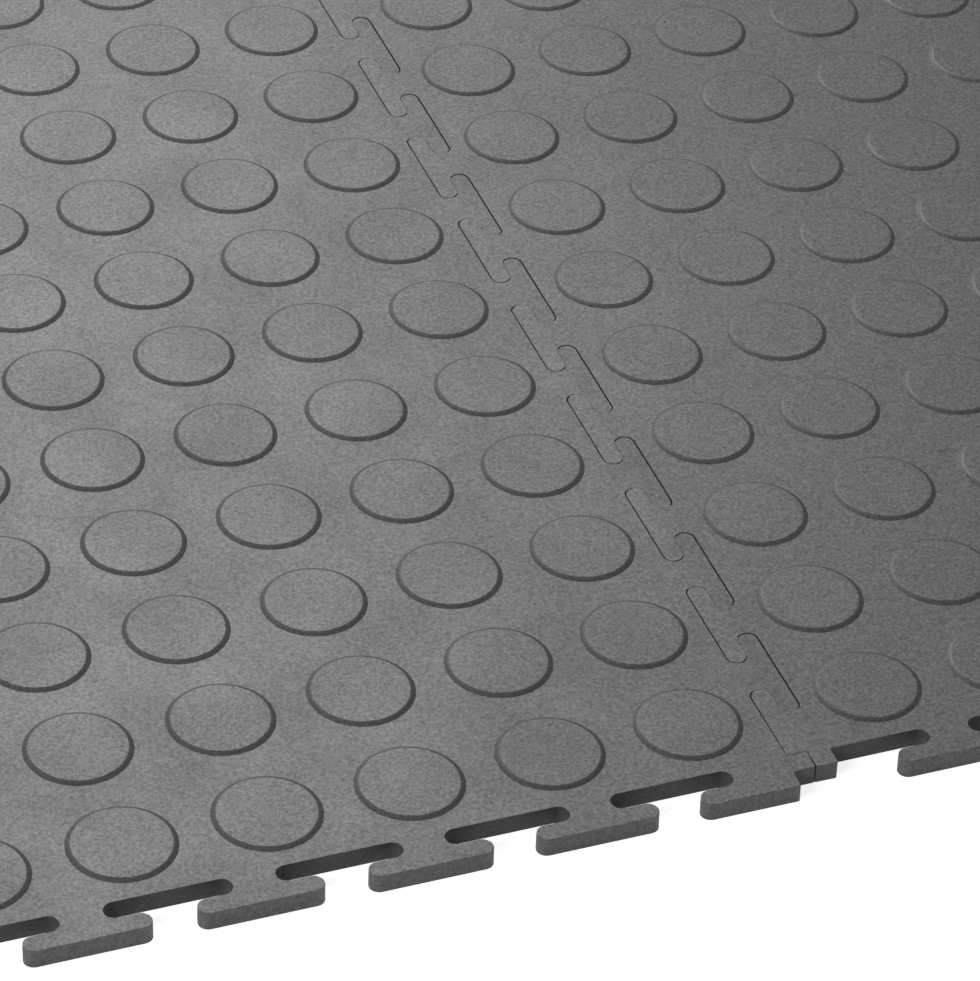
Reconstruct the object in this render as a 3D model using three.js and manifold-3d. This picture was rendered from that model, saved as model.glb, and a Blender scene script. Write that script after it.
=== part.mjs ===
// Interlocking stud-top floor mat: two equal moulded tiles joined along one edge by T-shaped tabs.
// Units are millimetres, +Z is up. The origin is on the floor, under the middle of the joined pair.
import * as THREE from 'three';
import { mergeGeometries, mergeVertices } from 'three/addons/utils/BufferGeometryUtils.js';
import Module from 'manifold-3d';

// The pair of tiles
const TILE_SIDE = 500;
const SHEET_THICKNESS = 5;
const JOINT_CLEARANCE = 0.15;
const QUARTER_TURN = Math.PI / 2;

// Round studs, in a square grid that lies along the tile's edges
const STUD_ROWS = 14;
const STUD_PITCH = 34.9;
const STUD_TOP_RADIUS = 12;
const STUD_BASE_RADIUS = 13.2;
const STUD_HEIGHT = 0.65;
const STUD_SIDES = 8;

// T-tabs: a neck stands out of the sheet's edge and carries a wide flat head
const TABS_PER_EDGE = 12;
const TAB_PITCH = 40.88;
const NECK_WIDTH = 10.5;
const HEAD_WIDTH = 29.9;
const HEAD_REACH = 5.2;
const HEAD_CHAMFER = 1.6;
const SLOT_CHAMFER = 1.8;
const CORNER_NUB = 5.76;

// The gap between two necks takes the other tile's head, so the tabs of mated edges alternate.
const FIRST_TAB = (TILE_SIDE - (TABS_PER_EDGE - 1.5) * TAB_PITCH) / 2;
const SHEET_EDGE = -HEAD_REACH - JOINT_CLEARANCE;
const HEAD_BACK = JOINT_CLEARANCE;
const HEAD_FRONT = HEAD_REACH - JOINT_CLEARANCE;
const NUB_FACE = -JOINT_CLEARANCE;

const wasm = await Module();
wasm.setup();

// A point s along one edge and d out from the nominal joint line, turned onto side 0 to 3 of the tile.
function edgePoint(side, s, d) {
  const point = new THREE.Vector2(s - TILE_SIDE / 2, -TILE_SIDE / 2 - d);
  return point.rotateAround(new THREE.Vector2(0, 0), side * QUARTER_TURN);
}

// The side of the neck where a slot ends: from the sheet's edge to the back of the head.
// towards is +1 where the outline comes to a neck, and -1 where it leaves one.
function slotEnd(neckSide, towards) {
  const inner = neckSide - towards * SLOT_CHAMFER;
  const ends = [
    [inner, SHEET_EDGE],
    [neckSide, SHEET_EDGE + SLOT_CHAMFER],
    [neckSide, HEAD_BACK - SLOT_CHAMFER],
    [inner, HEAD_BACK],
  ];
  return towards > 0 ? ends : ends.reverse();
}

// One end of a head, from its back to its front face, or the other way round at its far end.
function headEnd(tip, towards) {
  const inner = tip + towards * HEAD_CHAMFER;
  const ends = [
    [inner, HEAD_BACK],
    [tip, HEAD_BACK + HEAD_CHAMFER],
    [tip, HEAD_FRONT - HEAD_CHAMFER],
    [inner, HEAD_FRONT],
  ];
  return towards > 0 ? ends : ends.reverse();
}

// Outline of one edge from its start corner to just before the next corner.
// It starts with a square nub. The last tab runs into the corner, and its head is cut square there.
function edgeOutline(side) {
  const outline = [
    [JOINT_CLEARANCE, NUB_FACE],
    [CORNER_NUB - JOINT_CLEARANCE, NUB_FACE],
    [CORNER_NUB - JOINT_CLEARANCE, SHEET_EDGE],
  ];
  for (let tab = 0; tab < TABS_PER_EDGE; tab += 1) {
    const centre = FIRST_TAB + tab * TAB_PITCH;
    outline.push(...slotEnd(centre - NECK_WIDTH / 2, 1));
    outline.push(...headEnd(centre - HEAD_WIDTH / 2, 1));
    if (tab < TABS_PER_EDGE - 1) {
      outline.push(...headEnd(centre + HEAD_WIDTH / 2, -1));
      outline.push(...slotEnd(centre + NECK_WIDTH / 2, -1));
    }
  }
  outline.push([TILE_SIDE - CORNER_NUB - JOINT_CLEARANCE, HEAD_FRONT]);
  outline.push([TILE_SIDE - CORNER_NUB - JOINT_CLEARANCE, NUB_FACE]);
  return outline.map(([s, d]) => edgePoint(side, s, d));
}

// A three.js geometry as a manifold solid.
function toSolid(geometry) {
  geometry.deleteAttribute('normal');
  geometry.deleteAttribute('uv');
  const welded = mergeVertices(geometry);
  const vertProperties = new Float32Array(welded.attributes.position.array);
  const triVerts = new Uint32Array(welded.index.array);
  return new wasm.Manifold(new wasm.Mesh({ numProp: 3, vertProperties, triVerts }));
}

// A manifold solid as a three.js geometry.
function toGeometry(solid) {
  const { vertProperties, triVerts } = solid.getMesh();
  const geometry = new THREE.BufferGeometry();
  geometry.setAttribute('position', new THREE.BufferAttribute(vertProperties, 3));
  geometry.setIndex(new THREE.BufferAttribute(triVerts, 1));
  const faceted = geometry.toNonIndexed();
  faceted.computeVertexNormals();
  return faceted;
}

// The flat sheet with its tabs, from the floor up.
function sheetSolid() {
  const outline = [0, 1, 2, 3].flatMap(edgeOutline);
  return toSolid(new THREE.ExtrudeGeometry(new THREE.Shape(outline), {
    depth: SHEET_THICKNESS,
    bevelEnabled: false,
  }));
}

// All the studs, as low cones cut flat on top, standing on the sheet.
function studSolid() {
  const cone = new THREE.CylinderGeometry(STUD_TOP_RADIUS, STUD_BASE_RADIUS, STUD_HEIGHT, STUD_SIDES);
  cone.rotateX(QUARTER_TURN);
  cone.translate(0, 0, SHEET_THICKNESS + STUD_HEIGHT / 2);
  const firstStud = -(STUD_ROWS - 1) * STUD_PITCH / 2;
  const studs = [];
  for (let row = 0; row < STUD_ROWS; row += 1) {
    for (let column = 0; column < STUD_ROWS; column += 1) {
      const stud = cone.clone();
      stud.translate(firstStud + column * STUD_PITCH, firstStud + row * STUD_PITCH, 0);
      studs.push(stud);
    }
  }
  return toSolid(mergeGeometries(studs));
}

const tileGeometry = toGeometry(sheetSolid().add(studSolid()));
const greyVinyl = new THREE.MeshStandardMaterial({ color: 0x696969, roughness: 0.6, metalness: 0 });

function tile(name, x) {
  const mesh = new THREE.Mesh(tileGeometry, greyVinyl.clone());
  mesh.name = name;
  mesh.position.set(x, 0, 0);
  return mesh;
}

const mat = new THREE.Group();
mat.add(tile('left_tile', -TILE_SIDE / 2));
mat.add(tile('right_tile', TILE_SIDE / 2));

export default mat;
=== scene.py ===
import math

import bpy
import numpy as np
from mathutils import Matrix, Quaternion, Vector
from mathutils.geometry import delaunay_2d_cdt


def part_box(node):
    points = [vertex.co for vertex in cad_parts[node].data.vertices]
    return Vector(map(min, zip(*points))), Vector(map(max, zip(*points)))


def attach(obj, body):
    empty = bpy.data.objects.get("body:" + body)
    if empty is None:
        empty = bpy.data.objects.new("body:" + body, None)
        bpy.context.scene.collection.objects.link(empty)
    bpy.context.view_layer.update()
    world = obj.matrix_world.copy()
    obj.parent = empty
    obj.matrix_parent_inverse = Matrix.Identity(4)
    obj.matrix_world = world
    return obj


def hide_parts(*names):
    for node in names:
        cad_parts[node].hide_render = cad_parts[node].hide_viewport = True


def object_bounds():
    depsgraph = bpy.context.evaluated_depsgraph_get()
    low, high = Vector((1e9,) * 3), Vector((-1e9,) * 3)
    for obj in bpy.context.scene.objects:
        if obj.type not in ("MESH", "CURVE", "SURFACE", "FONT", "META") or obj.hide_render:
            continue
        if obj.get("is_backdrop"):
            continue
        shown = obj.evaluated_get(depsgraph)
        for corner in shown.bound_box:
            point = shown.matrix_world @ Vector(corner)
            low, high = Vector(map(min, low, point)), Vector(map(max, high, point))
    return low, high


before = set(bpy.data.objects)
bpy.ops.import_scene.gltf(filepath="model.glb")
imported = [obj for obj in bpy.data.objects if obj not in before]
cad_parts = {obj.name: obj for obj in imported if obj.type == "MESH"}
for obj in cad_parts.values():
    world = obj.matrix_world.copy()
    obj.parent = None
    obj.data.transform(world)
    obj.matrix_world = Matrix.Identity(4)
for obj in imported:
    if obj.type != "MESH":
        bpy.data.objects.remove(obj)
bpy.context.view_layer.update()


# ---------------------------------------------------------------------------------------------
# The two floor tiles.
# Each is one solid moulding in grey PVC: a flat square sheet with low round studs on top, and
# T-shaped tabs all round that drop into the slots of the next tile. No glue, screws or edging.

mm = 0.001
tile_low, tile_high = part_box("left_tile")
clearance = 0.15 * mm              # each tile stands this far back from the joint line
head_reach = 5.2 * mm              # a tab reaches this far past the joint line, and a slot this far in
joint_square = tile_high.x - tile_low.x - 2 * (head_reach - clearance)
half_square = joint_square / 2

tabs_per_edge = 12
tab_pitch = 40.88 * mm
first_tab = (joint_square - (tabs_per_edge - 1.5) * tab_pitch) / 2
neck_width = 10.5 * mm
head_width = 30.3 * mm
head_corner = 2.45 * mm
corner_nub = 5.76 * mm             # square nub at each corner of the tile
corner_round = 0.4 * mm            # and how far its corners are rounded
tight = 0.03 * mm                  # two locked tiles nearly close up here, and meet at the slots' ends
draft = 0.11 * mm                  # and their walls lean back by up to this much at the top
slight_lean = 0.4                  # the share of the draft that the square faces at the corners have
head_back = tight
head_front = head_reach - clearance
sheet_edge = -head_front - 2 * tight
slot_radius = (head_back - sheet_edge) / 2

stud_rows = 14
stud_pitch = 34.9 * mm
stud_foot = 13.15 * mm
stud_rim = 11.85 * mm              # the flank runs from here down to the foot
stud_crown = 10.6 * mm             # the top is flat this far out, then falls gently to the rim
crown_fall = 0.02 * mm
rim_slope, foot_slope = 0.3, 0.62  # the flank steepens from rim to foot
stud_sides = 48
stud_height = 0.65 * mm
sheet_top = tile_high.z - stud_height
head_fall = 0.02                   # a tab's head thins by this slope towards its outer face
outer_round = 0.1 * mm             # small radius along the edges of a head's outer face and a slot's floor
inner_round = 0.04 * mm            # and a sharper one where head meets head, and neck meets head


def arc(centre, radius, start, end, leans):
    """Points of an arc from one angle to another, in degrees, one for each of the leans given."""
    angles = np.radians(np.linspace(start, end, len(leans)))
    return [(centre[0] + radius * math.cos(a), centre[1] + radius * math.sin(a), lean)
            for a, lean in zip(angles, leans)]


def tab_half(end):
    """Half a tab, from the sheet's edge round the slot's end to the head's outer face. Points are
    (distance along the edge from the tab's middle, distance out from the joint line, lean), where
    lean says how much of the draft the wall has: end is the lean of the slot's and head's ends."""
    neck = -neck_width / 2
    tip = -head_width / 2
    slot_middle = (head_back + sheet_edge) / 2
    return (
        arc((neck - slot_radius, slot_middle), slot_radius, -90, 90, [1] * 4 + [end] * 6 + [0] * 3)
        + arc((tip + head_corner, head_back + head_corner), head_corner, -90, -180, [0] * 2 + [end] * 4)
        + arc((tip + head_corner, head_front - head_corner), head_corner, 180, 90, [end] * 2 + [1] * 4)
    )


def edge_outline():
    """One edge of a tile, from its square nub to the last tab, which runs on into the next corner."""
    left = tab_half(0)
    right = [(-s, d, lean) for s, d, lean in reversed(tab_half(1))]
    nub_end = corner_nub - tight
    points = [(tight, -tight, 1), (nub_end, -tight, slight_lean), (nub_end, sheet_edge, slight_lean)]
    for tab in range(tabs_per_edge):
        middle = first_tab + tab * tab_pitch
        whole = left + (right if tab < tabs_per_edge - 1 else [])
        points += [(middle + s, d, lean) for s, d, lean in whole]
    cut = joint_square - corner_nub - tight
    return points + [(cut, head_front, 1), (cut, -tight, slight_lean)]


def tile_outline():
    """All four edges, each a quarter turn on from the last, round the tile's middle, and the lean at
    each point. The square corners of nubs and cut heads are slightly rounded."""
    edge = [(s - half_square, -half_square - d, lean) for s, d, lean in edge_outline()]
    outline = []
    for cos, sin in ((1, 0), (0, 1), (-1, 0), (0, -1)):
        outline += [(x * cos - y * sin, x * sin + y * cos, lean) for x, y, lean in edge]
    points = [np.array(p[:2]) for p in outline]
    soft = []
    for before, corner, after, (_, _, lean) in zip(points[-1:] + points[:-1], points,
                                                   points[1:] + points[:1], outline):
        come = (corner - before) / np.linalg.norm(corner - before)
        go = (after - corner) / np.linalg.norm(after - corner)
        square = np.dot(come, go) < 0.5
        if not square:
            soft.append((*corner, lean))
            continue
        centre = corner - corner_round * come + corner_round * go
        for turn in np.linspace(0, math.pi / 2, 4):
            outwards = math.sin(turn) * come - math.cos(turn) * go
            soft.append((*(centre + corner_round * outwards), lean))
    return np.array(soft)


def inset(loop, distance):
    """A closed outline moved inwards by a distance, which may differ from point to point."""
    along = np.roll(loop, -1, axis=0) - loop
    out = np.stack([along[:, 1], -along[:, 0]], axis=1) / np.linalg.norm(along, axis=1)[:, None]
    before = np.roll(out, 1, axis=0)
    mitre = (before + out) / (1 + (before * out).sum(axis=1))[:, None]
    return loop - distance[:, None] * mitre


def fill(loops, loose=()):
    """Triangles between an outer loop and round holes. loops and loose are lists of points; the
    result numbers the points as they come, and drops the triangles inside a hole."""
    points = [Vector(p) for loop in loops for p in loop] + [Vector(p) for p in loose]
    loop_of, edges = [], []
    for number, loop in enumerate(loops):
        first = len(loop_of)
        loop_of += [number] * len(loop)
        edges += [(first + k, first + (k + 1) % len(loop)) for k in range(len(loop))]
    loop_of += [-1] * len(loose)
    _, _, faces, origins, _, _ = delaunay_2d_cdt(points, edges, [], 1, 1e-9)
    names = [origin[0] for origin in origins]
    triangles = []
    for face in faces:
        corners = [names[v] for v in face]
        owners = {loop_of[c] for c in corners}
        if len(owners) > 1 or owners == {0} or owners == {-1}:
            triangles.append(corners)
    return triangles


class Shell:
    """A mesh being put together from rings of points."""

    def __init__(self):
        self.points = []
        self.faces = []
        self.painted_shade = []

    def ring(self, points, painted_shade=0.0):
        first = len(self.points)
        self.points += [tuple(p) for p in points]
        self.painted_shade += list(np.broadcast_to(painted_shade, len(points)))
        return range(first, len(self.points))

    def bridge(self, lower, upper):
        count = len(lower)
        for k in range(count):
            n = (k + 1) % count
            self.faces.append((lower[k], lower[n], upper[n], upper[k]))


def top_height(x, y):
    """The sheet's top is flat, and falls a little along each tab's head."""
    return sheet_top - head_fall * max(0.0, max(abs(x), abs(y)) - half_square)


# How much painted shade the flanks and walls get, from 0 for none to 2: most of all down in the slots
flank_shade, outer_shade, slot_shade = 0.7, 0.5, 1.8


def tile_mesh(name):
    shell = Shell()
    outline, leans = np.split(tile_outline(), [2], axis=1)
    leans = leans[:, 0]

    # The wall, from the rounded bottom edge up to the rounded top edge
    rounds = np.where(leans > 0.5, outer_round, inner_round)
    # Painted shade on the wall: more the deeper the wall lies in a slot, and fading over the rounded edges
    depth = (head_front + half_square - np.abs(outline).max(axis=1)) / (head_front - sheet_edge)
    wall_shade = outer_shade + (slot_shade - outer_shade) * depth
    rings = []
    for angle in np.radians([0, 45, 90]):
        loop = inset(outline, rounds * (1 - math.sin(angle)))
        heights = rounds * (1 - math.cos(angle))
        rings.append(shell.ring([(x, y, z) for (x, y), z in zip(loop, heights)],
                                wall_shade * math.sin(angle)))
    for angle in np.radians([0, 45, 90]):
        loop = inset(outline, draft * leans + rounds * (1 - math.cos(angle)))
        drops = rounds * (1 - math.sin(angle))
        rings.append(shell.ring([(x, y, top_height(x, y) - drop) for (x, y), drop in zip(loop, drops)],
                                wall_shade * math.cos(angle)))
    for lower, upper in zip(rings, rings[1:]):
        shell.bridge(lower, upper)
    top_loop = [shell.points[v][:2] for v in rings[-1]]
    bottom_loop = [shell.points[v][:2] for v in rings[0]]

    # The studs: a flat round top, a gentle fall to the rim, and a flank that steepens to a crisp foot
    full_drop = (rim_slope + foot_slope) / 2
    flank = []
    for share in np.linspace(1, 0, 5):
        drop = rim_slope * share + (foot_slope - rim_slope) * share ** 2 / 2
        flank.append((stud_rim + (stud_foot - stud_rim) * share,
                      sheet_top + (tile_high.z - crown_fall - sheet_top) * (1 - drop / full_drop)))
    for share in np.linspace(1, 0, 5)[1:]:
        flank.append((stud_crown + (stud_rim - stud_crown) * share, tile_high.z - crown_fall * share ** 2))
    around = np.linspace(0, 2 * math.pi, stud_sides, endpoint=False)
    circle = np.stack([np.cos(around), np.sin(around)], axis=1)
    places = (np.arange(stud_rows) - (stud_rows - 1) / 2) * stud_pitch
    feet = []
    for cx in places:
        for cy in places:
            stud = []
            for radius, height in flank:
                # Painted shade on the stud's flank
                painted_shade = flank_shade if stud_rim < radius < stud_foot else 0.0
                loop = [(cx + radius * x, cy + radius * y, height) for x, y in circle]
                stud.append(shell.ring(loop, painted_shade))
            for lower, upper in zip(stud, stud[1:]):
                shell.bridge(lower, upper)
            shell.faces.append(tuple(stud[-1]))
            feet.append(stud[0])

    # The sheet's flat top, between the studs' feet and the outline
    between = (np.arange(stud_rows + 1) - stud_rows / 2) * stud_pitch
    inner = between[1:-1]
    loose = [(x, y) for x in inner for y in inner]
    loose_ring = shell.ring([(x, y, sheet_top) for x, y in loose])
    loops = [top_loop] + [[shell.points[v][:2] for v in foot] for foot in feet]
    numbers = list(rings[-1]) + [v for foot in feet for v in foot] + list(loose_ring)
    shell.faces += [tuple(numbers[c] for c in t) for t in fill(loops, loose)]

    # The flat underside
    shell.faces += [tuple(rings[0][c] for c in reversed(t)) for t in fill([bottom_loop])]

    mesh = bpy.data.meshes.new(name)
    mesh.from_pydata(shell.points, [], shell.faces)
    # The painted shade is stored on the points, and the material uses it to darken the colour
    mesh.attributes.new("painted_shade", "FLOAT", "POINT").data.foreach_set("value", shell.painted_shade)
    mesh.validate()
    mesh.shade_smooth()
    mesh.set_sharp_from_angle(angle=math.radians(14))
    return mesh


def moulded_pvc():
    """Matt grey PVC with the fine sand-blasted grain of its mould."""
    material = bpy.data.materials.new("moulded_grey_pvc")
    material.use_nodes = True
    nodes, links = material.node_tree.nodes, material.node_tree.links
    shader = nodes["Principled BSDF"]
    place = nodes.new("ShaderNodeTexCoord")

    def noise(scale, detail, roughness=0.5):
        node = nodes.new("ShaderNodeTexNoise")
        node.inputs["Scale"].default_value = scale
        node.inputs["Detail"].default_value = detail
        node.inputs["Roughness"].default_value = roughness
        links.new(place.outputs["Object"], node.inputs["Vector"])
        return node.outputs["Fac"]

    def spread(value, low, high, low_out, high_out):
        node = nodes.new("ShaderNodeMapRange")
        node.inputs["From Min"].default_value = low
        node.inputs["From Max"].default_value = high
        node.inputs["To Min"].default_value = low_out
        node.inputs["To Max"].default_value = high_out
        links.new(value, node.inputs["Value"])
        return node.outputs["Result"]

    def math_node(operation, a, b):
        node = nodes.new("ShaderNodeMath")
        node.operation = operation
        links.new(a, node.inputs[0])
        if isinstance(b, float):
            node.inputs[1].default_value = b
        else:
            links.new(b, node.inputs[1])
        return node.outputs["Value"]

    # The walls and flanks carry less grain than the faces, and carry painted shade
    painted_shade = nodes.new("ShaderNodeAttribute")
    painted_shade.attribute_name = "painted_shade"
    shade_amount = painted_shade.outputs["Fac"]

    grain = math_node("SUBTRACT", noise(1300, 3, 0.65), 0.5)
    grain = math_node("MULTIPLY", grain, spread(shade_amount, 0.0, 1.0, 1.0, 0.4))
    grain = math_node("ADD", grain, 0.5)
    speckle = noise(3200, 1)
    cloud = noise(38, 4, 0.55)
    patch = noise(6, 2)

    # Colour: fine speckle over soft clouds, all one neutral grey
    tone = math_node("MULTIPLY", spread(grain, 0.25, 0.75, 0.4, 1.6), spread(speckle, 0.3, 0.7, 0.85, 1.15))
    tone = math_node("MULTIPLY", tone, spread(cloud, 0.3, 0.7, 0.96, 1.04))
    tone = math_node("MULTIPLY", tone, spread(patch, 0.3, 0.7, 0.94, 1.06))
    mid_grey = 0.14
    tone = math_node("MULTIPLY", tone, mid_grey)

    # The painted shade darkens the grey and dulls its shine
    tone = math_node("MULTIPLY", tone, spread(shade_amount, 0.0, 2.0, 1.0, 0.6))
    shine = spread(grain, 0.25, 0.75, 0.3, 0.7)
    shine = math_node("MULTIPLY", shine, spread(shade_amount, 0.0, 2.0, 1.0, 0.4))
    links.new(shine, shader.inputs["Specular IOR Level"])
    colour = nodes.new("ShaderNodeCombineColor")
    for channel in ("Red", "Green", "Blue"):
        links.new(tone, colour.inputs[channel])
    links.new(colour.outputs["Color"], shader.inputs["Base Color"])

    # Roughness: matt, a little smoother where the clouds are pale
    links.new(spread(cloud, 0.3, 0.7, 0.49, 0.41), shader.inputs["Roughness"])

    # Bump: sand-blasted grain on top of a slight sink in the moulding
    fine = nodes.new("ShaderNodeBump")
    fine.inputs["Strength"].default_value = 0.7
    fine.inputs["Distance"].default_value = 0.06 * mm
    links.new(grain, fine.inputs["Height"])
    broad = nodes.new("ShaderNodeBump")
    broad.inputs["Strength"].default_value = 0.35
    broad.inputs["Distance"].default_value = 0.25 * mm
    links.new(cloud, broad.inputs["Height"])
    links.new(broad.outputs["Normal"], fine.inputs["Normal"])
    links.new(fine.outputs["Normal"], shader.inputs["Normal"])
    return material


pvc = moulded_pvc()
for node in ("left_tile", "right_tile"):
    low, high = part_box(node)
    middle = (low + high) / 2
    mesh = tile_mesh(node + "_moulding")
    mesh.transform(Matrix.Translation((middle.x, middle.y, 0)))
    mesh.materials.append(pvc)
    piece = bpy.data.objects.new(node + "_moulding", mesh)
    bpy.context.scene.collection.objects.link(piece)
    weighted = piece.modifiers.new("even_shading", "WEIGHTED_NORMAL")
    weighted.keep_sharp = True
    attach(piece, node)
    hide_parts(node)


# ---------------------------------------------------------------------------------------------
# The floor: a plain white studio floor, flat and matt, that the tiles lie on loose. It glows, more
# to the eye than onto the tiles, so that it stays white in their shade.

floor_mesh = bpy.data.meshes.new("floor")
reach = 12.0
floor_mesh.from_pydata([(-reach, -reach, 0), (reach, -reach, 0), (reach, reach, 0), (-reach, reach, 0)],
                       [], [(0, 1, 2, 3)])
floor = bpy.data.objects.new("floor", floor_mesh)
bpy.context.scene.collection.objects.link(floor)
floor_paint = bpy.data.materials.new("floor_paint")
floor_paint.use_nodes = True
paint = floor_paint.node_tree.nodes["Principled BSDF"]
paint.inputs["Base Color"].default_value = (0.9, 0.9, 0.9, 1)
paint.inputs["Roughness"].default_value = 0.9
paint.inputs["Emission Color"].default_value = (1, 1, 1, 1)
seen = floor_paint.node_tree.nodes.new("ShaderNodeLightPath")
glow = floor_paint.node_tree.nodes.new("ShaderNodeMapRange")
glow.inputs["To Min"].default_value = 0.35
glow.inputs["To Max"].default_value = 0.8
floor_paint.node_tree.links.new(seen.outputs["Is Camera Ray"], glow.inputs["Value"])
floor_paint.node_tree.links.new(glow.outputs["Result"], paint.inputs["Emission Strength"])
floor_mesh.materials.append(floor_paint)
floor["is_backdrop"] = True


# ---------------------------------------------------------------------------------------------
# Studio light: a strong soft box high behind the mat, a weak one low behind it, one of middling
# strength at the front left, and a faint even fill from all round.

world = bpy.data.worlds.new("studio")
bpy.context.scene.world = world
bpy.context.scene.view_settings.view_transform = "Standard"
world.use_nodes = True
world.node_tree.nodes["Background"].inputs["Color"].default_value = (1, 1, 1, 1)
world.node_tree.nodes["Background"].inputs["Strength"].default_value = 0.1


def soft_box(name, side, energy, location, aim):
    lamp = bpy.data.lights.new(name, "AREA")
    lamp.shape = "SQUARE"
    lamp.size = side
    lamp.energy = energy
    stand = bpy.data.objects.new(name, lamp)
    bpy.context.scene.collection.objects.link(stand)
    stand.location = location
    stand.rotation_euler = (Vector(aim) - stand.location).to_track_quat("-Z", "Y").to_euler()


mat_middle = (-0.05, -0.05, 0)
soft_box("high_back_light", 0.8, 15.2, (0.12, 1.15, 1.3), mat_middle)
soft_box("low_back_light", 0.8, 4, (0.15, 1.6, 0.8), mat_middle)
soft_box("front_light", 0.8, 10, (-1.4, -0.8, 1.0), mat_middle)


# ---------------------------------------------------------------------------------------------
# The camera: a long lens held high at the front left, looking down across the seam.

camera_data = bpy.data.cameras.new("camera")
camera_data.sensor_width = 36
camera_data.lens = 187.24
camera = bpy.data.objects.new("camera", camera_data)
bpy.context.scene.collection.objects.link(camera)
looks_at = Vector((-0.0369, -0.1285, sheet_top))
azimuth, elevation, roll = math.radians(-22.01), math.radians(37.93), math.radians(2.95)
back = Vector((math.sin(azimuth) * math.cos(elevation),
               -math.cos(azimuth) * math.cos(elevation),
               math.sin(elevation)))
camera.location = looks_at + back * 1.2745
camera.rotation_mode = "QUATERNION"
camera.rotation_quaternion = (-back).to_track_quat("-Z", "Y") @ Quaternion((0, 0, 1), roll)
camera_data.clip_start = 0.05
camera_data.clip_end = 100
bpy.context.scene.camera = camera


low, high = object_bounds()
